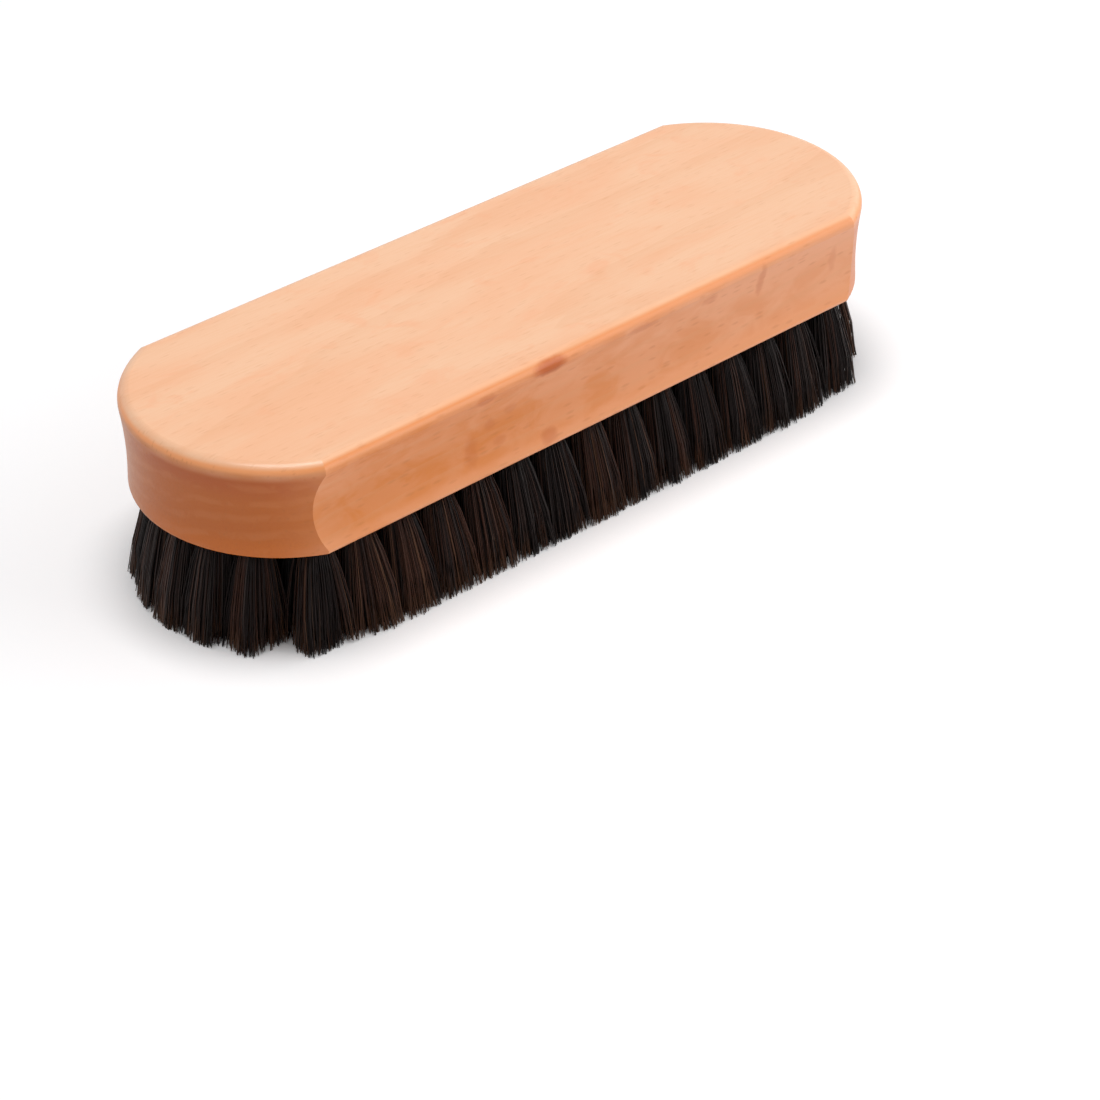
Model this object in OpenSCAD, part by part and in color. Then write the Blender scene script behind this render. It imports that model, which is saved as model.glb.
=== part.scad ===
/* [Block] */
// Length of the wooden block, end to end
block_l = 150; // [130:1:180]
// Width of the block across its straight sides
block_w = 49.5; // [46:0.5:60]
// Thickness of the block
block_t = 17.5; // [15:0.5:22]
// Angle at which each curved end turns off the straight sides, which leaves a crease there
end_turn = 25; // [15:0.5:32]
// Radius that rounds the upper edge all the way round
top_edge_r = 2; // [1:0.1:3.5]
// Radius that takes the sharpness off the lower edge
bottom_edge_r = 0.6; // [0.4:0.1:1.5]

/* [Finger grooves] */
// Depth of the shallow groove that runs along each long side
side_groove_d = 1.4; // [0.6:0.1:2]
// Depth of the fainter hollow that runs round each end
end_groove_d = 0.4; // [0.2:0.1:1]
// Strip of flat side left above and below the grooves
groove_lip = 0.2; // [0.1:0.1:1.5]
// How far the lower edge is set in from the upper one
base_set_in = 0.5; // [0:0.1:0.6]

/* [Tuft holes] */
// Bore of each hole
hole_d = 4.5; // [4:0.1:5]
// Depth of each hole's straight wall
hole_depth = 9.5; // [8.5:0.1:11]
// Point angle of the drill, which leaves a cone at the end of each hole
drill_point = 118; // [100:1:140]
// Distance from the block's outline to the centres of the outermost holes
edge_margin = 6.6; // [5.5:0.1:8]
// Distance aimed at between neighbouring holes of one row
hole_pitch = 8.2; // [7.4:0.1:9.5]

/* [Wire anchors] */
// How far each end of an anchor bites into the wall of its hole
anchor_bite = 0.5; // [0.2:0.05:0.8]
// Width of the flat wire, which stands along the hole
anchor_h = 1.6; // [1.2:0.1:2.2]
// Thickness of the flat wire
anchor_t = 0.4; // [0.3:0.05:0.6]
// Turn of every anchor away from the line of its row
anchor_turn = 45; // [0:5:90]

/* [Bristles] */
// Length of bristle below the block
bristle_l = 18.7; // [14:0.1:26]
// How far the outermost tips stand past the block's outline
tip_flare = 0.5; // [0:0.1:2]
// Width of one strand where it is trimmed
strand_w = 2.4; // [1.6:0.1:2.6]
// Free space between the strands of a tuft where they leave the block
strand_gap = 0.4; // [0.2:0.05:0.6]
// Thickness of hair that is folded over each anchor
fold_t = 0.9; // [0.6:0.1:1.4]

/* [Fits] */
// Clearance between a tuft's root and the wall of its hole
hair_fit = 0.05; // [0.03:0.01:0.15]
// Clearance round each anchor
anchor_fit = 0.02; // [0.01:0.01:0.05]

/* [Hidden] */
ROWS = 7;
$fn = 48;

// Surplus by which a cutter runs past the surface that it opens
over = 1;

// Each end is one arc, wider than the block, so that it meets the sides at the crease
end_r = block_w / 2 / cos(end_turn);
end_x = block_l / 2 - end_r;

// Heights of the lips between which each groove is cut, and share of its chord where the
// upper part's step hides
groove_low = bottom_edge_r + groove_lip;
groove_high = block_t - top_edge_r - groove_lip;
step_share = 1 / 8;

// The rows share the width between the two outermost ones
hole_r = hole_d / 2;
drill_point_h = hole_r / tan(drill_point / 2);
row_gap = (block_w - 2 * edge_margin) / (ROWS - 1);

// A tuft's root fills its hole, and lies folded over the anchor near the hole's end
hair_r = hole_r - hair_fit;
hair_top = hole_depth - hair_fit;
anchor_l = hole_d + 2 * anchor_bite;
anchor_top = hair_top - fold_t;
anchor_low = anchor_top - anchor_h;

// Four strands fill the square that fits in the root's circle
STRANDS = [[-1, -1], [1, -1], [1, 1], [-1, 1]];
root_half = hair_r / sqrt(2);
root_w = root_half - strand_gap / 2;
root_offset = (root_half + strand_gap / 2) / 2;
// The strands part inside the root, below the anchor, and show from just below the block
parting_z = bristle_l + anchor_low / 2;
root_z = bristle_l - root_w / 2;

// Tips spread sideways from the middle of the block, evenly up to the flared outline
outline_gain = tip_flare - strand_w / 2;
side_splay = (block_w / 2 + outline_gain) / (block_w / 2 - edge_margin + row_gap / 4);
// A little unevenness in the tips: sideways shift in mm and turn in degrees
tip_stray = 0.25;
tip_turn = 12;

BEECH = [0.93, 0.76, 0.58];
HAIR = [0.15, 0.10, 0.09];
STEEL = [0.72, 0.73, 0.75];

function row_y(i) = (i - (ROWS + 1) / 2) * row_gap;

// Half the length of a row: its end holes keep the margin from the curved ends
function row_half(i) = end_x + sqrt(pow(end_r - edge_margin, 2) - pow(row_y(i), 2));

// Spaces between the holes of a row, even and odd by turns, which staggers the rows
function row_spaces(i) =
    let (odd = (i + 1) % 2)
    2 * round((2 * row_half(i) / hole_pitch - odd) / 2) + odd;

function row_pitch(i) = 2 * row_half(i) / row_spaces(i);

function row_holes(i) =
    [for (k = [0:row_spaces(i)]) [k * row_pitch(i) - row_half(i), row_y(i)]];

// In the round ends the tips spread from the centre of the end's arc, in a row of the given pitch
function end_splay(pitch) =
    (end_r + outline_gain) / (end_r - edge_margin + norm([pitch, row_gap]) / 4);

// Where a point of the root pattern lies at the tips: the spread changes over up to the crease
function at_tips(p, pitch) =
    let (past = abs(p.x) - end_x)
    let (share = max(0, min(1, (90 - atan2(abs(p.y), past)) / end_turn)))
    let (splay = side_splay + share * (end_splay(pitch) - side_splay))
    [past < 0 ? p.x : sign(p.x) * (end_x + past * splay), p.y * splay];

function square_ring(c, w, turn, z) =
    [for (q = STRANDS) [
        c.x + w / 2 * (q.x * cos(turn) - q.y * sin(turn)),
        c.y + w / 2 * (q.x * sin(turn) + q.y * cos(turn)),
        z
    ]];

// Section of the block from its middle out to the given reach, where it has a groove.
// The groove is an arc through both lips, so its radius follows from chord and depth.
// The wider upper part starts low in the groove, where the arc cuts its whole step away.
module half_section(reach, groove_d) {
    high = [reach, groove_high];
    low = [reach - base_set_in, groove_low];
    chord = norm(high - low);
    groove_r = (pow(chord / 2, 2) + pow(groove_d, 2)) / (2 * groove_d);
    outward = [high.y - low.y, low.x - high.x] / chord;
    step_y = low.y + step_share * chord;
    difference() {
        polygon([[0, 0], [low.x, 0], [low.x, step_y], [reach, step_y], [reach, block_t], [0, block_t]]);
        translate([reach - top_edge_r, block_t - top_edge_r])
            edge_waste(top_edge_r);
        translate([low.x - bottom_edge_r, bottom_edge_r])
            mirror([0, 1])
                edge_waste(bottom_edge_r);
        translate((low + high) / 2 + outward * (groove_r - groove_d))
            circle(groove_r, $fn = 360);
    }
}

module edge_waste(r) {
    difference() {
        square(r + over);
        circle(r);
    }
}

// The block as long stock with rounded edges and both finger grooves
module grooved_bar() {
    rotate([90, 0, 90])
        linear_extrude(block_l + 2 * over, center = true)
            for (side = [0, 1])
                mirror([side, 0])
                    half_section(block_w / 2, side_groove_d);
}

// The plan of the block: two round ends with rounded edges, and the stretch between them
module end_form() {
    for (side = [-1, 1])
        translate([side * end_x, 0, 0])
            rotate_extrude($fn = 144)
                half_section(end_r, end_groove_d);
    translate([-end_x, -block_w / 2 - over, 0])
        cube([2 * end_x, block_w + 2 * over, block_t]);
}

module tuft_hole() {
    rotate_extrude()
        polygon([
            [0, -over],
            [hole_r, -over],
            [hole_r, hole_depth],
            [0, hole_depth + drill_point_h]
        ]);
    anchor_space();
}

module anchor_space() {
    translate([0, 0, anchor_low - anchor_fit])
        rotate(anchor_turn)
            translate([-anchor_l / 2 - anchor_fit, -anchor_t / 2 - anchor_fit, 0])
                cube([anchor_l + 2 * anchor_fit, anchor_t + 2 * anchor_fit, anchor_h + 2 * anchor_fit]);
}

module block() {
    color(BEECH)
        translate([0, 0, bristle_l])
            difference() {
                intersection() {
                    grooved_bar();
                    end_form();
                }
                for (i = [1:ROWS], c = row_holes(i))
                    translate(c)
                        tuft_hole();
            }
}

// The folded root of a tuft, with its upper edge rounded by the fold
module tuft_root() {
    difference() {
        rotate_extrude()
            difference() {
                square([hair_r, hair_top]);
                translate([hair_r - fold_t, hair_top - fold_t])
                    edge_waste(fold_t);
            }
        anchor_space();
    }
}

// One strand: it grows from a point in the root, and ends flat on the surface below the brush
module strand(tuft, side, pitch, stray) {
    from = tuft + side * root_offset;
    to = at_tips([tuft.x + side.x * pitch / 4, tuft.y + side.y * row_gap / 4], pitch)
        + [stray.x, stray.y] * tip_stray;
    polyhedron(
        points = concat(
            [[tuft.x + side.x * root_offset / 2, tuft.y + side.y * root_offset / 2, parting_z]],
            square_ring(from, root_w, 0, root_z),
            square_ring(to, strand_w, stray.z * tip_turn, 0)
        ),
        faces = concat(
            [for (k = [0:3]) [0, 1 + (k + 1) % 4, 1 + k]],
            [for (k = [0:3]) [1 + k, 1 + (k + 1) % 4, 5 + k]],
            [for (k = [0:3]) [1 + (k + 1) % 4, 5 + (k + 1) % 4, 5 + k]],
            [[5, 6, 7], [5, 7, 8]]
        )
    );
}

module bristle_row(i) {
    holes = row_holes(i);
    strays = rands(-1, 1, len(holes) * len(STRANDS) * 3, i);
    color(HAIR)
        for (h = [0:len(holes) - 1])
            union() {
                translate([holes[h].x, holes[h].y, bristle_l])
                    tuft_root();
                for (s = [0:len(STRANDS) - 1])
                    let (n = 3 * (h * len(STRANDS) + s))
                    strand(holes[h], STRANDS[s], row_pitch(i), [strays[n], strays[n + 1], strays[n + 2]]);
            }
}

module anchor_row(i) {
    color(STEEL)
        for (c = row_holes(i))
            translate([c.x, c.y, bristle_l + anchor_low])
                rotate(anchor_turn)
                    translate([-anchor_l / 2, -anchor_t / 2, 0])
                        cube([anchor_l, anchor_t, anchor_h]);
}

block();
bristle_row(1);  // bristle_row_1
bristle_row(2);  // bristle_row_2
bristle_row(3);  // bristle_row_3
bristle_row(4);  // bristle_row_4
bristle_row(5);  // bristle_row_5
bristle_row(6);  // bristle_row_6
bristle_row(7);  // bristle_row_7
anchor_row(1);  // anchor_row_1
anchor_row(2);  // anchor_row_2
anchor_row(3);  // anchor_row_3
anchor_row(4);  // anchor_row_4
anchor_row(5);  // anchor_row_5
anchor_row(6);  // anchor_row_6
anchor_row(7);  // anchor_row_7
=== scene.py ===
import math

import bpy
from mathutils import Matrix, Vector


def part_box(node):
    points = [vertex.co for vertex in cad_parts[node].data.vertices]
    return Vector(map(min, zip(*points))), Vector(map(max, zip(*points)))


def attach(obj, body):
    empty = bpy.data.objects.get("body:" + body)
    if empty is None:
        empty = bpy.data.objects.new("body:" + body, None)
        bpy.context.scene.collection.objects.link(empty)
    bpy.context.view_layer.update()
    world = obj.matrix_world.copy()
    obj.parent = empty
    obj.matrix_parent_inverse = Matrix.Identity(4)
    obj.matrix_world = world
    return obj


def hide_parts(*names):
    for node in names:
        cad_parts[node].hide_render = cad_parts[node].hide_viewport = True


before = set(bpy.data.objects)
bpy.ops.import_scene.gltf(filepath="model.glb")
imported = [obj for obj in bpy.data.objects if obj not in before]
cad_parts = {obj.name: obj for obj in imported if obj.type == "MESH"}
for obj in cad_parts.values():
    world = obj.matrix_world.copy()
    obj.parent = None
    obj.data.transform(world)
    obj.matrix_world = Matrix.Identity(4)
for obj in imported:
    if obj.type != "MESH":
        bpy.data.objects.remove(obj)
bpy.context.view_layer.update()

scene = bpy.context.scene


# The viewpoint: the brush seen from its near left corner, a third of the way up, as a
# product photographer would stand with a long lens. The view is aimed below the brush,
# which puts it in the upper half of the frame.
VIEW_AZIMUTH = math.radians(-41.59)
VIEW_ELEVATION = math.radians(34.34)
VIEW_ROLL = math.radians(-0.544)
VIEW_DISTANCE = 0.5825
VIEW_TARGET = Vector((0.0091, 0, -0.0240))
VIEW_LENS = 104.7
SENSOR_WIDTH = 36
NEAREST_SEEN = 0.01
FARTHEST_SEEN = 50

towards_camera = Vector((
    math.sin(VIEW_AZIMUTH) * math.cos(VIEW_ELEVATION),
    -math.cos(VIEW_AZIMUTH) * math.cos(VIEW_ELEVATION),
    math.sin(VIEW_ELEVATION),
))
camera = bpy.data.objects.new("camera", bpy.data.cameras.new("camera"))
scene.collection.objects.link(camera)
camera.data.lens = VIEW_LENS
camera.data.sensor_width = SENSOR_WIDTH
camera.data.clip_start = NEAREST_SEEN
camera.data.clip_end = FARTHEST_SEEN
camera.location = VIEW_TARGET + towards_camera * VIEW_DISTANCE
camera.rotation_euler = towards_camera.to_track_quat("Z", "Y").to_euler()
camera.rotation_euler.rotate_axis("Z", VIEW_ROLL)
scene.camera = camera
scene.view_settings.view_transform = "Standard"


# The block: one piece of steamed beech, moulded to shape, sanded and given a thin satin
# lacquer. The flat top stays pale with pinkish clouds, the lacquer lies deeper orange on
# the edges and sides, and the sawn ends drink more of it and turn brown.
BEECH_PALE = (0.855, 0.505, 0.310, 1)
BEECH_PINK = (0.850, 0.455, 0.262, 1)
BEECH_LATE = (0.720, 0.330, 0.150, 1)
BEECH_BLUSH = (0.850, 0.400, 0.215, 1)
EDGE_ORANGE = (0.760, 0.265, 0.080, 1)
SIDE_PALE = (0.825, 0.355, 0.178, 1)
SIDE_ORANGE = (0.710, 0.215, 0.040, 1)
END_EDGE = (0.900, 0.360, 0.140, 1)
END_ORANGE = (0.660, 0.150, 0.002, 1)
END_BROWN = (0.585, 0.136, 0.008, 1)
END_UMBER_PORES_AND_SHADE = (0.510, 0.088, 0.002, 1)
END_PALE = (0.670, 0.205, 0.052, 1)
RAY_FLECK = (0.500, 0.145, 0.025, 1)
MARK_RED = (0.500, 0.090, 0.001, 1)

# The growth rings: the heart of the tree lies far below the block and leans a little
PITH_PLACE = Vector((0, -0.030, -0.105))
PITH_LEAN = (0, math.radians(1.6), math.radians(2.2))
RING_WIDTH = 0.0034
RING_WANDER = 2.2 * RING_WIDTH
LATE_SHARE_ON_TOP = 0.16
LATE_SHARE_AT_SIDE = 0.18

# The size of each pattern in the wood, along the block, across it and up
WANDER_SIZE = (0.110, 0.017, 0.017)
CLOUD_SIZE = (0.034, 0.0095, 0.0095)
MOTTLE_SIZE = (0.0085, 0.0050, 0.0042)
MOTTLE_SHIFT = (3, 1, 7)
FIBRE_SIZE = (0.0070, 0.00038, 0.00038)
PORE_SIZE = (0.0033, 0.00030, 0.00030)
RAY_SIZE = (0.0032, 0.00055, 0.0009)

# Where each change of tone starts and ends: places along the sides, then heights
block_low, block_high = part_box("block")
BLOCK_FOOT = block_low[2]
BLOCK_TOP = block_high[2]
# The paler right end of the sides is painted sheen
SHEEN_RIGHT_TO_DEEP_LEFT = (0.070, -0.060)
LEFT_CORNER = (-0.050, -0.062)
UPPER_SIDE = (BLOCK_TOP - 0.0097, BLOCK_TOP - 0.0052)
# A painted highlight along the sides' lower lip
PAINTED_LIP_HIGHLIGHT = (BLOCK_FOOT + 0.0029, BLOCK_FOOT + 0.0013)
RIM_TO_END = (BLOCK_TOP - 0.0016, BLOCK_TOP - 0.0032)
# Painted shade in a band below the ends' rim
SHADE_BELOW_END_RIM = (BLOCK_TOP - 0.0077, BLOCK_TOP - 0.0032)
FOOT_OF_END = (BLOCK_FOOT + 0.0048, BLOCK_FOOT + 0.0013)

# Natural marks on the near side: the place along the block and below its top, half the
# length, half the height, and the strength of each
SIDE_MARKS = (
    (-0.0122, 0.0017, 0.0036, 0.0014, 0.90),
    (-0.0262, 0.0024, 0.0022, 0.0010, 0.40),
    (0.0085, 0.0026, 0.0034, 0.0008, 0.30),
    (-0.0243, 0.0084, 0.0012, 0.0012, 0.24),
    (-0.0200, 0.0070, 0.0014, 0.0009, 0.20),
    (-0.0223, 0.0122, 0.0013, 0.0009, 0.22),
    (-0.0285, 0.0120, 0.0015, 0.0028, 0.24),
    (-0.0120, 0.0154, 0.0018, 0.0014, 0.42),
    (0.0372, 0.0047, 0.0009, 0.0034, 0.34),
    (0.0245, 0.0037, 0.0018, 0.0009, 0.26),
    (0.0556, 0.0077, 0.0010, 0.0026, 0.18),
)
RAGGED_SIZE = (0.0016, 0.0016, 0.0016)
RAGGED_REACH = Vector((0.0012, 0, 0.0008))
FIBRE_RELIEF = 0.00003


class Wiring:
    """The nodes of one tree, added and wired from top to bottom."""

    def __init__(self, tree):
        self.nodes = tree.nodes
        self.links = tree.links
        self.nodes.clear()

    def add(self, kind, settings=None, **sockets):
        """Adds a node. Each keyword names an input socket, with spaces written as underscores."""
        node = self.nodes.new(kind)
        for key, value in (settings or {}).items():
            setattr(node, key, value)
        for key, value in sockets.items():
            self.plug(value, node.inputs[key.replace("_", " ")])
        return node

    def plug(self, value, socket):
        if isinstance(value, bpy.types.NodeSocket):
            self.links.new(value, socket)
        else:
            socket.default_value = value

    def math(self, operation, *values):
        node = self.add("ShaderNodeMath", {"operation": operation})
        for value, socket in zip(values, node.inputs):
            self.plug(value, socket)
        return node.outputs["Value"]

    def split(self, vector):
        return self.add("ShaderNodeSeparateXYZ", Vector=vector).outputs

    def band(self, value, start, end, least=0.0, most=1.0):
        """Goes smoothly from least, where the value is at its start, to most at its end."""
        node = self.add(
            "ShaderNodeMapRange",
            {"interpolation_type": "SMOOTHSTEP"},
            Value=value,
            From_Min=start,
            From_Max=end,
            To_Min=least,
            To_Max=most,
        )
        return node.outputs["Result"]

    def over(self, share, below, above):
        """One shader shown over another for a share of the rays."""
        node = self.add("ShaderNodeMixShader", Fac=share)
        self.plug(below, node.inputs[1])
        self.plug(above, node.inputs[2])
        return node.outputs["Shader"]


class Finish(Wiring):
    """The material of one kind of piece, with short names for what a finish needs."""

    def __init__(self, name):
        self.material = bpy.data.materials.new(name)
        self.material.use_nodes = True
        super().__init__(self.material.node_tree)
        self.shader = self.add("ShaderNodeBsdfPrincipled")
        self.add("ShaderNodeOutputMaterial", Surface=self.shader.outputs["BSDF"])

    def stretched(self, vector, cell, offset=(0, 0, 0)):
        """The place measured in cells of a given size, so that a pattern takes that size."""
        scale = [1 / length for length in cell]
        return self.add("ShaderNodeMapping", Vector=vector, Location=offset, Scale=scale).outputs["Vector"]

    def noise(self, vector, detail=2.0, roughness=0.5, distortion=0.0):
        return self.add(
            "ShaderNodeTexNoise",
            Vector=vector,
            Scale=1.0,
            Detail=detail,
            Roughness=roughness,
            Distortion=distortion,
        ).outputs["Fac"]

    def mix(self, share, first, second):
        node = self.add("ShaderNodeMix", {"data_type": "RGBA"}, Factor=share, A=first, B=second)
        return node.outputs["Result"]

    def relief(self, height, distance, strength):
        bump = self.add("ShaderNodeBump", Strength=strength, Distance=distance, Height=height)
        self.plug(bump.outputs["Normal"], self.shader.inputs["Normal"])


def lacquered_beech():
    finish = Finish("lacquered_beech")
    coordinates = finish.add("ShaderNodeTexCoord")
    place = coordinates.outputs["Object"]
    along, height = finish.split(place)["X"], finish.split(place)["Z"]
    facing = finish.split(coordinates.outputs["Normal"])

    # Which way the surface cuts the wood: the flat top, the edges and sides, the sawn ends
    square_x = finish.math("MULTIPLY", facing["X"], facing["X"])
    outward = finish.math("MULTIPLY_ADD", facing["Y"], facing["Y"], square_x)
    least_outward = 0.02
    outward = finish.math("MAXIMUM", finish.math("SQRT", outward), least_outward)
    lengthwise = finish.math("DIVIDE", finish.math("ABSOLUTE", facing["X"]), outward)
    endward = finish.band(lengthwise, start=0.10, end=0.75)
    beside = finish.band(
        facing["Z"],
        start=finish.band(endward, start=0.0, end=1.0, least=0.955, most=0.860),
        end=finish.band(endward, start=0.0, end=1.0, least=0.640, most=0.500),
    )
    near_side = finish.band(facing["Y"], start=-0.35, end=-0.70)

    # Growth rings round the pith
    askew = finish.add("ShaderNodeMapping", Vector=place, Location=-PITH_PLACE, Rotation=PITH_LEAN)
    from_pith = finish.split(askew.outputs["Vector"])
    square_y = finish.math("MULTIPLY", from_pith["Y"], from_pith["Y"])
    square_z = finish.math("MULTIPLY", from_pith["Z"], from_pith["Z"])
    radius = finish.math("SQRT", finish.math("ADD", square_y, square_z))
    wander = finish.noise(finish.stretched(place, WANDER_SIZE), detail=3.0, roughness=0.55)
    shifted = finish.math("ADD", radius, finish.math("MULTIPLY", wander, RING_WANDER))
    year = finish.math("FRACT", finish.math("DIVIDE", shifted, RING_WIDTH))
    autumn = finish.band(year, start=0.55, end=0.97)
    late_wood = finish.math("MULTIPLY", autumn, finish.band(year, start=1.0, end=0.97))

    # Slow clouds of tone along the grain, smaller mottles, and fine streaks of fibre
    cloud = finish.noise(finish.stretched(place, CLOUD_SIZE), detail=3.0, roughness=0.55, distortion=0.4)
    mottled = finish.stretched(place, MOTTLE_SIZE, MOTTLE_SHIFT)
    mottle = finish.noise(mottled, detail=3.0, roughness=0.55, distortion=0.6)
    fibre = finish.noise(finish.stretched(place, FIBRE_SIZE), roughness=0.6)
    pores = finish.noise(finish.stretched(place, PORE_SIZE), roughness=0.6)

    # Rays: short dark spindles in some of the cells, longest along the grain
    ray_cells = finish.add("ShaderNodeTexVoronoi", Vector=finish.stretched(place, RAY_SIZE), Scale=1.0)
    picked = finish.add("ShaderNodeSeparateColor", Color=ray_cells.outputs["Color"]).outputs["Red"]
    spindle = finish.band(ray_cells.outputs["Distance"], start=0.42, end=0.12)
    rays = finish.math("MULTIPLY", spindle, finish.band(picked, start=0.62, end=0.72))

    # The flat top
    tone = finish.mix(finish.band(cloud, start=0.36, end=0.66), BEECH_PALE, BEECH_PINK)
    tone = finish.mix(finish.band(mottle, start=0.54, end=0.74, most=0.50), tone, BEECH_BLUSH)
    tone = finish.mix(finish.math("MULTIPLY", late_wood, LATE_SHARE_ON_TOP), tone, BEECH_LATE)
    tone = finish.mix(finish.band(fibre, start=0.45, end=0.75, most=0.14), tone, BEECH_LATE)

    # The edges and sides: deeper orange towards the left end and in the groove; the paler right end is
    # painted sheen
    # Paler towards the right-hand end: a painted sheen
    deep_lacquer_less_sheen = finish.band(along, *SHEEN_RIGHT_TO_DEEP_LEFT, least=-0.05, most=0.92)
    deep_lacquer_less_sheen = finish.math("SUBTRACT", deep_lacquer_less_sheen, finish.band(height, *UPPER_SIDE, most=0.22))
    deep_lacquer_less_sheen = finish.math("SUBTRACT", deep_lacquer_less_sheen, finish.band(along, *LEFT_CORNER, most=0.35))
    deep_lacquer_less_sheen = finish.math("ADD", deep_lacquer_less_sheen, finish.band(mottle, start=0.35, end=0.68, least=-0.12, most=0.28))
    # Paler on the lower lip: a painted highlight along the bottom edge
    deep_lacquer_less_sheen = finish.math("SUBTRACT", deep_lacquer_less_sheen, finish.band(height, *PAINTED_LIP_HIGHLIGHT, most=0.55))
    side = finish.mix(deep_lacquer_less_sheen, SIDE_PALE, SIDE_ORANGE)
    edge = finish.mix(endward, EDGE_ORANGE, END_EDGE)
    side = finish.mix(finish.band(facing["Z"], start=0.10, end=0.45), side, edge)
    side = finish.mix(finish.math("MULTIPLY", late_wood, LATE_SHARE_AT_SIDE), side, BEECH_LATE)
    tone = finish.mix(beside, tone, side)

    # The sawn ends, dotted with open pores; painted shade below the rim, and paler where they turn to the far
    # side, a painted light and sheen
    sawn = finish.mix(finish.band(height, *FOOT_OF_END, most=0.8), END_BROWN, END_ORANGE)
    # Painted shade: darker umber in a band below the rim
    sawn = finish.mix(finish.band(height, *SHADE_BELOW_END_RIM, most=0.7), sawn, END_UMBER_PORES_AND_SHADE)
    sawn = finish.mix(finish.band(pores, start=0.45, end=0.70, most=0.20), sawn, END_UMBER_PORES_AND_SHADE)
    spring = finish.band(year, start=0.05, end=0.30)
    early_wood = finish.math("MULTIPLY", spring, finish.band(year, start=0.75, end=0.45))
    patchy = finish.band(mottle, start=0.40, end=0.60, most=0.4)
    pale = finish.math("MULTIPLY", early_wood, patchy)
    # Paler where the end turns to the far side: painted light and sheen
    pale = finish.math("ADD", pale, finish.band(facing["Y"], start=-0.15, end=0.45, most=0.75))
    sawn = finish.mix(pale, sawn, END_PALE)
    below_rim = finish.band(height, *RIM_TO_END, most=0.95)
    tone = finish.mix(finish.math("MULTIPLY", endward, below_rim), tone, sawn)

    # Ray flecks all over, and the larger natural marks of the near side
    fleck_share = finish.band(beside, start=0.0, end=1.0, least=0.13, most=0.24)
    tone = finish.mix(finish.math("MULTIPLY", rays, fleck_share), tone, RAY_FLECK)
    wobble = finish.add("ShaderNodeTexNoise", Vector=finish.stretched(place, RAGGED_SIZE), Scale=1.0)
    ragged = finish.add("ShaderNodeVectorMath", {"operation": "MULTIPLY_ADD"})
    for value, socket in zip((wobble.outputs["Color"], RAGGED_REACH, place), ragged.inputs):
        finish.plug(value, socket)
    for mark_along, below_top, half_length, half_height, strength in SIDE_MARKS:
        centre = Vector((mark_along, 0, BLOCK_TOP - below_top))
        spot = finish.add(
            "ShaderNodeMapping",
            {"vector_type": "TEXTURE"},
            Vector=ragged.outputs["Vector"],
            Location=centre + RAGGED_REACH / 2,
            Scale=(half_length, 1, half_height),
        )
        off = finish.split(spot.outputs["Vector"])
        square_off = finish.math(
            "ADD", finish.math("MULTIPLY", off["X"], off["X"]), finish.math("MULTIPLY", off["Z"], off["Z"])
        )
        mark = finish.band(square_off, start=1.6, end=0.1, most=strength)
        tone = finish.mix(finish.math("MULTIPLY", mark, near_side), tone, MARK_RED)

    finish.plug(tone, finish.shader.inputs["Base Color"])
    roughness = finish.band(fibre, start=0.3, end=0.8, least=0.36, most=0.46)
    finish.plug(roughness, finish.shader.inputs["Roughness"])
    finish.shader.inputs["Specular IOR Level"].default_value = 0.32
    finish.shader.inputs["Coat Weight"].default_value = 0.25
    finish.shader.inputs["Coat Roughness"].default_value = 0.17
    finish.relief(fibre, FIBRE_RELIEF, strength=0.6)
    return finish.material


def dress(node, material):
    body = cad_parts[node]
    body.data.materials.clear()
    body.data.materials.append(material)


dress("block", lacquered_beech())


# The tufts: dark horsehair, a few hundred hairs in each hole. A filling machine folds every
# bundle over its anchor, and the finished face is trimmed level, so the hairs fan out from
# the hole and end in one plane with a few strays. Each row of tufts is one piece here.
ROW_COUNT = 7
HAIRS_PER_TUFT = 540
HAIR_WIDTH = 0.00023
HAIR_TAPER = 0.75
HAIR_SIDES = 3
HAIR_STEPS = 3
HAIR_ROOT_DEPTH = 0.0012
HAIR_BOW = 0.0005
MOUTH_RADIUS = 0.00205

# How the bundle opens, and how its tips end. The fills are shares of the holes' spacing
FAN_FILL = 0.53
FAN_SQUARENESS = 0.85
FAN_EASE = 1.3
TIP_RAGGED = 0.0008
TIP_EASE = 2.0
TIP_SCATTER = 0.0003
LOCK_SIZE = 0.0022
LOCK_PULL = 0.0009
SIDE_FLARE = 0.0014
END_FLARE = 0.0003

# The block's outline, which the field of tips follows: straight sides and round ends
END_TURN = math.radians(25)
BLOCK_HALF_WIDTH = (block_high[1] - block_low[1]) / 2
BLOCK_HALF_LENGTH = (block_high[0] - block_low[0]) / 2
END_RADIUS = BLOCK_HALF_WIDTH / math.cos(END_TURN)
END_CENTRE = BLOCK_HALF_LENGTH - END_RADIUS

# The random numbers of a hair, each with a seed of its own, and the seeds kept for each row
DRAWS = ("tuft", "turn", "reach", "trim", "scatter_x", "scatter_y", "bow_x", "bow_y", "tone")
SEEDS_PER_ROW = 10
WIRE_GAP = 0.001


def tuft_centres(row):
    """Centres of a row's tufts: the middle of each anchor, between the corners at its two ends."""
    corners = [vertex.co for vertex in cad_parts[f"anchor_row_{row}"].data.vertices]
    places = sorted(corner.x for corner in corners)
    middle = sum(corner.y for corner in corners) / len(corners)
    ends, first = [], places[0]
    for here, after in zip(places, places[1:] + [math.inf]):
        if after - here > WIRE_GAP:
            ends.append((first + here) / 2)
            first = after
    return [((left + right) / 2, middle) for left, right in zip(ends[::2], ends[1::2])]


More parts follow.
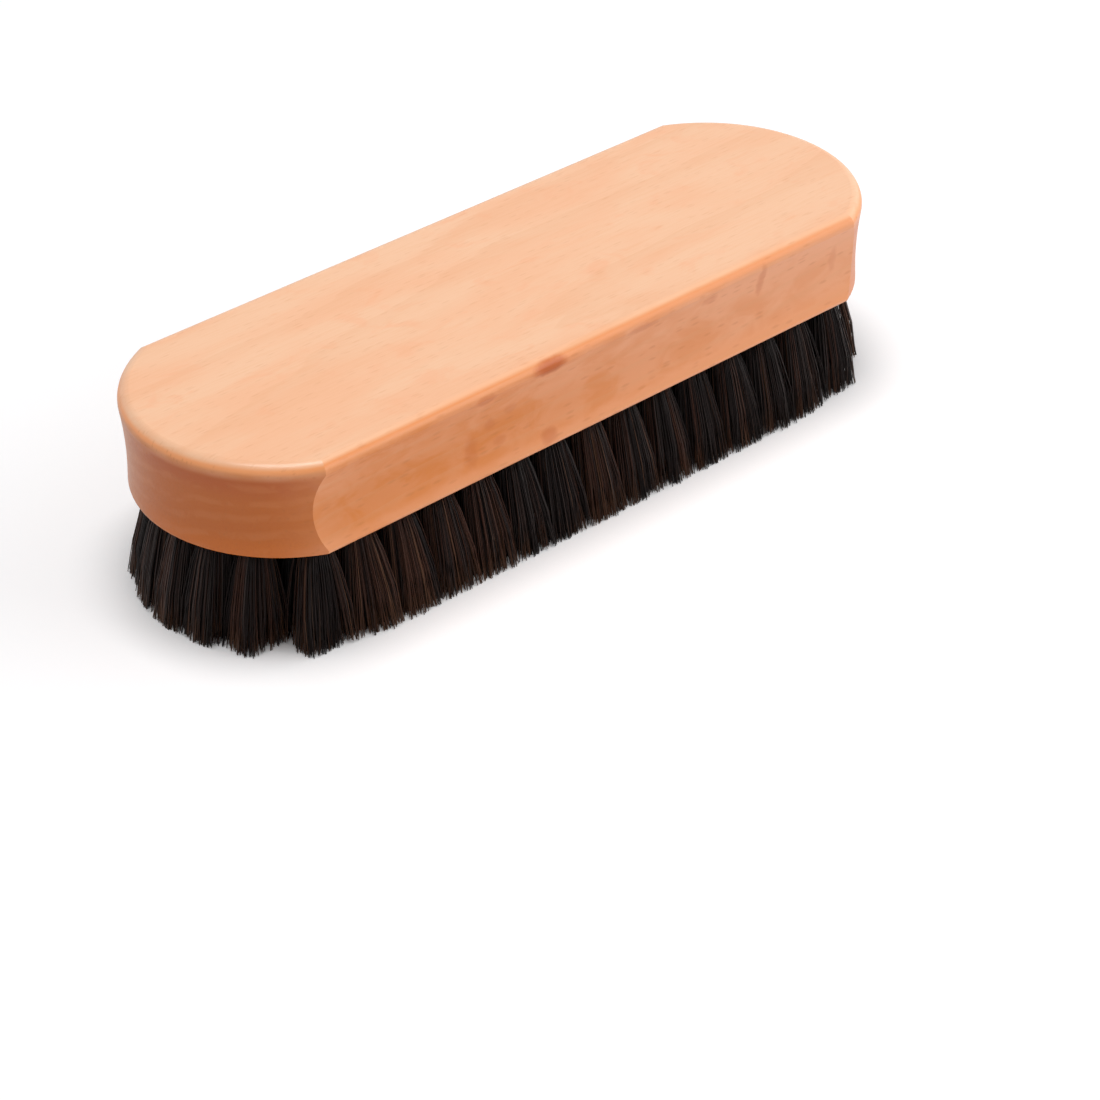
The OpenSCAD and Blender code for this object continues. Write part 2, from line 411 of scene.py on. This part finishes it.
class Tree(Wiring):
    """A geometry node tree with named inputs."""

    def __init__(self, name):
        self.group = bpy.data.node_groups.new(name, "GeometryNodeTree")
        super().__init__(self.group)
        self.inputs = self.nodes.new("NodeGroupInput")
        self.output = self.nodes.new("NodeGroupOutput")
        self.group.interface.new_socket("Geometry", in_out="INPUT", socket_type="NodeSocketGeometry")
        self.group.interface.new_socket("Geometry", in_out="OUTPUT", socket_type="NodeSocketGeometry")

    def input(self, name, kind="Float"):
        self.group.interface.new_socket(name, in_out="INPUT", socket_type=f"NodeSocket{kind}")
        return self.inputs.outputs[name]

    def vector(self, x=0.0, y=0.0, z=0.0):
        return self.add("ShaderNodeCombineXYZ", X=x, Y=y, Z=z).outputs["Vector"]

    def vector_math(self, operation, first, second):
        node = self.add("ShaderNodeVectorMath", {"operation": operation})
        self.plug(first, node.inputs[0])
        self.plug(second, node.inputs["Scale"] if operation == "SCALE" else node.inputs[1])
        return node.outputs["Vector"]

    def random(self, low, high, seed):
        node = self.add("FunctionNodeRandomValue", {"data_type": "FLOAT"}, Seed=seed)
        lowest, highest = [s for s in node.inputs if s.name in ("Min", "Max") and s.type == "VALUE"]
        self.plug(low, lowest)
        self.plug(high, highest)
        return next(s for s in node.outputs if s.type == "VALUE")

    def store(self, geometry, name, value, kind="FLOAT"):
        settings = {"data_type": kind, "domain": "POINT"}
        node = self.add("GeometryNodeStoreNamedAttribute", settings, Geometry=geometry, Name=name)
        self.plug(value, node.inputs["Value"])
        return node.outputs["Geometry"]

    def stored(self, name):
        node = self.add("GeometryNodeInputNamedAttribute", {"data_type": "FLOAT_VECTOR"}, Name=name)
        return node.outputs["Attribute"]


def hair_tree():
    """Grows a bundle of hairs from each point it is given, which is the middle of a tuft."""
    tree = Tree("horsehair_tufts")
    hairs = tree.input("Hairs per Tuft", "Int")
    width = tree.input("Hair Width")
    mouth = tree.input("Mouth Radius")
    root_height = tree.input("Root Height")
    fan_x = tree.input("Fan Along")
    fan_y = tree.input("Fan Across")
    squareness = tree.input("Fan Squareness")
    fan_ease = tree.input("Fan Ease")
    side_splay = tree.input("Side Splay")
    end_splay = tree.input("End Splay")
    end_centre = tree.input("End Centre")
    end_turn = tree.input("End Turn")
    side_limit = tree.input("Side Limit")
    end_limit = tree.input("End Limit")
    ragged = tree.input("Ragged Trim")
    scatter = tree.input("Tip Scatter")
    bow = tree.input("Bow")
    lock_size = tree.input("Lock Size")
    lock_pull = tree.input("Lock Pull")
    seed = tree.input("Seed", "Int")
    hair_finish = tree.input("Hair", "Material")

    def draw(name, low=0.0, high=1.0):
        return tree.random(low, high, tree.math("ADD", seed, float(DRAWS.index(name))))

    centres = tree.add("GeometryNodeMeshToPoints", Mesh=tree.inputs.outputs["Geometry"]).outputs["Points"]
    centres = tree.store(centres, "tuft", draw("tuft"))
    bundle = tree.add(
        "GeometryNodeDuplicateElements", {"domain": "POINT"}, Geometry=centres, Amount=hairs
    ).outputs["Geometry"]

    # A hair's place in the round mouth of its hole, from 0 in the middle to 1 at the wall
    turn = draw("turn", high=math.tau)
    cosine, sine = tree.math("COSINE", turn), tree.math("SINE", turn)
    reach = tree.math("SQRT", draw("reach"))
    share_x = tree.math("MULTIPLY", cosine, reach)
    share_y = tree.math("MULTIPLY", sine, reach)
    middle = tree.add("GeometryNodeInputPosition").outputs["Position"]
    in_mouth = tree.vector(
        tree.math("MULTIPLY", share_x, mouth), tree.math("MULTIPLY", share_y, mouth), root_height
    )
    root = tree.vector_math("ADD", middle, in_mouth)

    # How far inside the field its hole lies, counted from the outline
    hole = tree.split(middle)
    aside = tree.math("ABSOLUTE", hole["Y"])
    beyond = tree.math("MAXIMUM", tree.math("SUBTRACT", tree.math("ABSOLUTE", hole["X"]), end_centre), 0.0)
    square = tree.math("ADD", tree.math("MULTIPLY", beyond, beyond), tree.math("MULTIPLY", aside, aside))
    inset = tree.math(
        "MINIMUM",
        tree.math("SUBTRACT", side_limit, aside),
        tree.math("SUBTRACT", end_limit, tree.math("SQRT", square)),
    )

    # Where its tip would lie if the bundle opened to fill its oblong share of the face, and how
    # far it clings to its neighbours in a lock
    widest = tree.math("MAXIMUM", tree.math("ABSOLUTE", cosine), tree.math("ABSOLUTE", sine))
    cornered = tree.math("DIVIDE", 1.0, tree.math("POWER", widest, squareness))
    in_fan = tree.vector(tree.math("MULTIPLY", share_x, fan_x), tree.math("MULTIPLY", share_y, fan_y))
    spot = tree.vector_math("ADD", middle, tree.vector_math("SCALE", in_fan, cornered))
    cells = tree.vector_math("SCALE", spot, tree.math("DIVIDE", 1.0, lock_size))
    lock = tree.add("ShaderNodeTexNoise", Vector=cells, Scale=1.0, Detail=1.0)
    noise_middle = (0.5, 0.5, 0.5)
    cling = tree.vector_math("SUBTRACT", lock.outputs["Color"], noise_middle)
    level = (1, 1, 0)
    cling = tree.vector_math("SCALE", tree.vector_math("MULTIPLY", cling, level), lock_pull)
    parts = tree.split(tree.vector_math("ADD", spot, cling))
    along = tree.math("ABSOLUTE", parts["X"])
    across = tree.math("ABSOLUTE", parts["Y"])
    past = tree.math("SUBTRACT", along, end_centre)

    # All tips spread towards the outline, from the middle line or from the end's centre
    bearing = tree.math("SUBTRACT", math.pi / 2, tree.math("ARCTAN2", across, past))
    end_share = tree.math("DIVIDE", bearing, end_turn)
    end_share = tree.math("MAXIMUM", tree.math("MINIMUM", end_share, 1.0), 0.0)
    more = tree.math("MULTIPLY", end_share, tree.math("SUBTRACT", end_splay, side_splay))
    splay = tree.math("ADD", side_splay, more)
    past = tree.math("MULTIPLY", tree.math("MAXIMUM", past, 0.0), splay)
    across = tree.math("MINIMUM", tree.math("MULTIPLY", across, splay), side_limit)

    # The trimmed outline holds them in, and a few are shorter than the rest
    square = tree.math("ADD", tree.math("MULTIPLY", past, past), tree.math("MULTIPLY", across, across))
    trim = tree.math("MINIMUM", tree.math("DIVIDE", end_limit, tree.math("SQRT", square)), 1.0)
    past = tree.math("MULTIPLY", past, trim)
    held = tree.math("MINIMUM", along, end_centre)
    tip_x = tree.math("MULTIPLY", tree.math("SIGN", parts["X"]), tree.math("ADD", held, past))
    tip_y = tree.math("MULTIPLY", tree.math("SIGN", parts["Y"]), across)
    short = tree.math("POWER", draw("trim"), TIP_EASE)
    tip = tree.vector(
        tree.math("ADD", tip_x, tree.math("MULTIPLY", draw("scatter_x", low=-1.0), scatter)),
        tree.math("ADD", tip_y, tree.math("MULTIPLY", draw("scatter_y", low=-1.0), scatter)),
        tree.math("MULTIPLY", short, ragged),
    )
    sway = tree.vector(
        tree.math("MULTIPLY", draw("bow_x", low=-1.0), bow),
        tree.math("MULTIPLY", draw("bow_y", low=-1.0), bow),
    )
    bundle = tree.store(bundle, "root", root, "FLOAT_VECTOR")
    bundle = tree.store(bundle, "tip", tip, "FLOAT_VECTOR")
    bundle = tree.store(bundle, "sway", sway, "FLOAT_VECTOR")
    bundle = tree.store(bundle, "tone", draw("tone"))
    bundle = tree.store(bundle, "lock", lock.outputs[0])
    bundle = tree.store(bundle, "inset", inset)

    # One hair: a thin three-sided rod, 1 wide at its root and 1 long, which every copy bends
    # to its own place
    rod = tree.add(
        "GeometryNodeMeshCone",
        {"fill_type": "NGON"},
        Vertices=HAIR_SIDES,
        Side_Segments=HAIR_STEPS,
        Radius_Top=HAIR_TAPER / 2,
        Radius_Bottom=1 / 2,
        Depth=1.0,
    ).outputs["Mesh"]
    rod_place = tree.add("GeometryNodeInputPosition").outputs["Position"]
    rod = tree.store(rod, "section", rod_place, "FLOAT_VECTOR")
    copies = tree.add("GeometryNodeInstanceOnPoints", Points=bundle, Instance=rod)
    field = tree.add("GeometryNodeRealizeInstances", Geometry=copies.outputs["Instances"]).outputs["Geometry"]

    # The bundle opens soon after it leaves the hole, and the hairs then run side by side. The
    # bow is widest halfway down, where the product of the two shares is a quarter
    section = tree.split(tree.stored("section"))
    down = section["Z"]
    left = tree.math("SUBTRACT", 1.0, down)
    opened = tree.math("SUBTRACT", 1.0, tree.math("POWER", left, fan_ease))
    step = tree.vector_math("SUBTRACT", tree.stored("tip"), tree.stored("root"))
    line = tree.vector_math("MULTIPLY", step, tree.vector(opened, opened, down))
    line = tree.vector_math("ADD", tree.stored("root"), line)
    quarter = 0.25
    waist = tree.math("DIVIDE", tree.math("MULTIPLY", down, left), quarter)
    line = tree.vector_math("ADD", line, tree.vector_math("SCALE", tree.stored("sway"), waist))
    skin = tree.vector(tree.math("MULTIPLY", section["X"], width), tree.math("MULTIPLY", section["Y"], width))
    field = tree.store(field, "down", down)
    placed = tree.add(
        "GeometryNodeSetPosition", Geometry=field, Position=tree.vector_math("ADD", line, skin)
    ).outputs["Geometry"]
    for name in ("root", "tip", "sway", "section"):
        placed = tree.add("GeometryNodeRemoveAttribute", Geometry=placed, Name=name).outputs["Geometry"]
    turned = tree.add("GeometryNodeFlipFaces", Mesh=placed).outputs["Mesh"]
    smooth = tree.add("GeometryNodeSetShadeSmooth", Geometry=turned).outputs["Geometry"]
    finished = tree.add("GeometryNodeSetMaterial", Geometry=smooth, Material=hair_finish)
    tree.plug(finished.outputs["Geometry"], tree.output.inputs["Geometry"])
    return tree.group


HAIR_BLACK = (0.0095, 0.0042, 0.0036, 1)
HAIR_BROWN = (0.0620, 0.0230, 0.0130, 1)
HAIR_GREY = (0.0420, 0.0320, 0.0300, 1)
HAIR_TAN = (0.1250, 0.0540, 0.0250, 1)
ROOT_SHADE = (0.0020, 0.0014, 0.0014, 1)
HAIR_SCALE_SIZE = (0.0011, 0.0011, 0.0060)
HAIR_RELIEF = 0.00001
OUTER_TO_INNER = (0.0080, 0.0115)


def horsehair():
    finish = Finish("horsehair")

    def kept(name):
        return finish.add("ShaderNodeAttribute", {"attribute_name": name}).outputs["Fac"]

    tone, lock, tuft, down = kept("tone"), kept("lock"), kept("tuft"), kept("down")
    inner = finish.band(kept("inset"), *OUTER_TO_INNER)
    place = finish.add("ShaderNodeTexCoord").outputs["Object"]

    # Whole tufts and locks lean to black, brown or grey, and single hairs stray from them
    shared = finish.math("ADD", lock, finish.band(tuft, start=0.0, end=1.0, least=-0.11, most=0.09))
    strayed = finish.band(tone, start=0.0, end=1.0, least=-0.10, most=0.10)
    browned = finish.math("ADD", shared, strayed)
    colour = finish.mix(finish.band(browned, start=0.42, end=0.62), HAIR_BLACK, HAIR_BROWN)
    less_shared = 0.50
    greyed = finish.math("SUBTRACT", tone, finish.math("MULTIPLY", shared, less_shared))
    colour = finish.mix(finish.band(greyed, start=0.42, end=0.60, most=0.8), colour, HAIR_GREY)
    more_shared = 0.35
    fair = finish.math("ADD", tone, finish.math("MULTIPLY", shared, more_shared))
    colour = finish.mix(finish.band(fair, start=1.08, end=1.14, most=0.8), colour, HAIR_TAN)

    # Tips are bleached to brown, and roots lie in shade
    tipward = finish.band(down, start=0.72, end=1.0, most=0.60)
    bleached = finish.math("MULTIPLY", tipward, finish.band(browned, start=0.38, end=0.60))
    colour = finish.mix(bleached, colour, HAIR_TAN)
    colour = finish.mix(finish.band(down, start=0.42, end=0.02, most=0.60), colour, ROOT_SHADE)

    # Between the tufts of the outer ring the inner ones are seen only in deep shade
    depth = finish.band(down, start=0.95, end=0.50, least=0.20, most=0.95)
    colour = finish.mix(finish.math("MULTIPLY", inner, depth), colour, ROOT_SHADE)
    finish.plug(colour, finish.shader.inputs["Base Color"])
    scales = finish.noise(finish.stretched(place, HAIR_SCALE_SIZE), roughness=0.6)
    roughness = finish.band(scales, start=0.2, end=0.8, least=0.36, most=0.52)
    finish.plug(roughness, finish.shader.inputs["Roughness"])
    finish.shader.inputs["Specular IOR Level"].default_value = 0.22
    finish.relief(scales, HAIR_RELIEF, strength=0.4)
    return finish.material


def grow_row(row, tree, settings):
    """One row of tufts: points at the tuft centres, grown into hairs and made a plain mesh."""
    name = f"horsehair_row_{row}"
    points = bpy.data.meshes.new(name + "_centres")
    points.from_pydata([(x, y, 0) for x, y in tuft_centres(row)], [], [])
    grower = bpy.data.objects.new(name + "_grower", points)
    scene.collection.objects.link(grower)
    modifier = grower.modifiers.new("hairs", "NODES")
    modifier.node_group = tree
    identifiers = {
        item.name: item.identifier
        for item in tree.interface.items_tree
        if item.item_type == "SOCKET" and item.in_out == "INPUT"
    }
    for key, value in settings.items():
        modifier[identifiers[key]] = value
    ready = grower.evaluated_get(bpy.context.evaluated_depsgraph_get())
    mesh = bpy.data.meshes.new_from_object(ready)
    mesh.name = name
    grower.modifiers.remove(modifier)
    bpy.data.objects.remove(grower)
    tufts = bpy.data.objects.new(name, mesh)
    scene.collection.objects.link(tufts)
    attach(tufts, "root")
    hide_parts(f"bristle_row_{row}")


outer_row = abs(tuft_centres(1)[0][1])
row_gap = outer_row - abs(tuft_centres(2)[0][1])
fan_across = FAN_FILL * row_gap
end_hole = END_RADIUS - (BLOCK_HALF_WIDTH - outer_row)
hair = horsehair()
hair_field = hair_tree()
for row in range(1, ROW_COUNT + 1):
    centres = tuft_centres(row)
    fan_along = FAN_FILL * (centres[1][0] - centres[0][0])
    grow_row(row, hair_field, {
        "Hairs per Tuft": HAIRS_PER_TUFT,
        "Hair Width": HAIR_WIDTH,
        "Mouth Radius": MOUTH_RADIUS,
        "Root Height": BLOCK_FOOT + HAIR_ROOT_DEPTH,
        "Fan Along": fan_along,
        "Fan Across": fan_across,
        "Fan Squareness": FAN_SQUARENESS,
        "Fan Ease": FAN_EASE,
        "Side Splay": (BLOCK_HALF_WIDTH + SIDE_FLARE) / (outer_row + fan_across),
        "End Splay": (END_RADIUS + END_FLARE) / (end_hole + (fan_along + fan_across) / 2),
        "End Centre": END_CENTRE,
        "End Turn": END_TURN,
        "Side Limit": BLOCK_HALF_WIDTH + SIDE_FLARE,
        "End Limit": END_RADIUS + END_FLARE,
        "Ragged Trim": TIP_RAGGED,
        "Tip Scatter": TIP_SCATTER,
        "Bow": HAIR_BOW,
        "Lock Size": LOCK_SIZE,
        "Lock Pull": LOCK_PULL,
        "Seed": SEEDS_PER_ROW * row,
        "Hair": hair,
    })


# The anchors: short lengths of flat steel wire, chopped and driven in by the filling
# machine. Each one stands in its hole across the fold of its bundle, out of sight.
WIRE_DARK = (0.42, 0.43, 0.45, 1)
WIRE_BRIGHT = (0.60, 0.60, 0.61, 1)
WIRE_STAIN = (0.30, 0.26, 0.22, 1)
DRAWN_LINE_SIZE = (0.0011, 0.0011, 0.00011)
STAIN_SIZE = (0.0014, 0.0014, 0.0014)
WIRE_RELIEF = 0.00001


def drawn_wire():
    finish = Finish("drawn_anchor_wire")
    place = finish.add("ShaderNodeTexCoord").outputs["Object"]
    drawing = finish.noise(finish.stretched(place, DRAWN_LINE_SIZE), detail=3.0, roughness=0.6)
    stain = finish.noise(finish.stretched(place, STAIN_SIZE))
    steel = finish.mix(finish.band(drawing, start=0.35, end=0.7), WIRE_DARK, WIRE_BRIGHT)
    steel = finish.mix(finish.band(stain, start=0.55, end=0.8, most=0.4), steel, WIRE_STAIN)
    finish.plug(steel, finish.shader.inputs["Base Color"])
    finish.shader.inputs["Metallic"].default_value = 1.0
    roughness = finish.band(drawing, start=0.2, end=0.8, least=0.26, most=0.44)
    finish.plug(roughness, finish.shader.inputs["Roughness"])
    finish.relief(drawing, WIRE_RELIEF, strength=0.5)
    return finish.material


wire = drawn_wire()
for row in range(1, ROW_COUNT + 1):
    dress(f"anchor_row_{row}", wire)


# The table: a plain white sweep, which isn't part of the brush. It throws some light back up
# at the sides. The camera sees it white but for the brush's shadow, and pure white far off.
TABLE_HALF = 3.0
TABLE_LIT = (0.80, 0.80, 0.80, 1)
TABLE_MIRRORED = (0.80, 0.80, 0.80, 1)
TABLE_SEEN = (1.02, 1.02, 1.03, 1)
SHADOW_REACH = 0.13
WHITE_FROM = 0.30

table_mesh = bpy.data.meshes.new("table")
table_mesh.from_pydata(
    [(x * TABLE_HALF, y * TABLE_HALF, 0) for x, y in ((-1, -1), (1, -1), (1, 1), (-1, 1))],
    [],
    [(0, 1, 2, 3)],
)
table = bpy.data.objects.new("table", table_mesh)
scene.collection.objects.link(table)


def white_sweep():
    material = bpy.data.materials.new("white_sweep")
    material.use_nodes = True
    paper = Wiring(material.node_tree)

    def matt(colour):
        return paper.add("ShaderNodeBsdfDiffuse", Color=colour).outputs["BSDF"]

    ray = paper.add("ShaderNodeLightPath").outputs
    mirrored = paper.math("MAXIMUM", ray["Is Glossy Ray"], ray["Is Transmission Ray"])
    shown = paper.over(mirrored, matt(TABLE_LIT), matt(TABLE_MIRRORED))
    shown = paper.over(ray["Is Camera Ray"], shown, matt(TABLE_SEEN))
    away = paper.add("ShaderNodeVectorMath", {"operation": "LENGTH"})
    paper.plug(paper.add("ShaderNodeTexCoord").outputs["Object"], away.inputs[0])
    far_off = paper.band(away.outputs["Value"], start=SHADOW_REACH, end=WHITE_FROM)
    seen_far_off = paper.math("MULTIPLY", far_off, ray["Is Camera Ray"])
    pure_white = paper.add("ShaderNodeEmission").outputs["Emission"]
    shown = paper.over(seen_far_off, shown, pure_white)
    paper.add("ShaderNodeOutputMaterial", Surface=shown)
    return material


table_mesh.materials.append(white_sweep())


# The light: a white room at a low level, a soft lamp overhead, which keeps the shadow close, and
# a long low one to the front right, which lights the near side and leaves the left end in shade.
ROOM_LEVEL = 0.30
ROOM_SEEN = 1.0
ROOM_WHITE = (1, 1, 1, 1)


def soft_lamp(name, place, width, depth, watts):
    lamp = bpy.data.objects.new(name, bpy.data.lights.new(name, "AREA"))
    scene.collection.objects.link(lamp)
    lamp.data.shape = "RECTANGLE"
    lamp.data.size = width
    lamp.data.size_y = depth
    lamp.data.energy = watts
    lamp.location = place
    lamp.rotation_euler = Vector(place).to_track_quat("Z", "Y").to_euler()


def white_room():
    world = bpy.data.worlds.new("white_room")
    world.use_nodes = True
    room = Wiring(world.node_tree)

    def wall(level):
        return room.add("ShaderNodeBackground", Color=ROOM_WHITE, Strength=level).outputs["Background"]

    ray = room.add("ShaderNodeLightPath").outputs
    seen = room.math("MAXIMUM", ray["Is Camera Ray"], ray["Is Glossy Ray"])
    seen = room.math("MAXIMUM", seen, ray["Is Transmission Ray"])
    room.add("ShaderNodeOutputWorld", Surface=room.over(seen, wall(ROOM_LEVEL), wall(ROOM_SEEN)))
    return world


soft_lamp("top_lamp", place=(-0.06, -0.01, 1.20), width=0.6, depth=0.6, watts=9.6)
soft_lamp("front_lamp", place=(0.95, -0.70, 0.40), width=1.6, depth=0.8, watts=10.0)
scene.world = white_room()
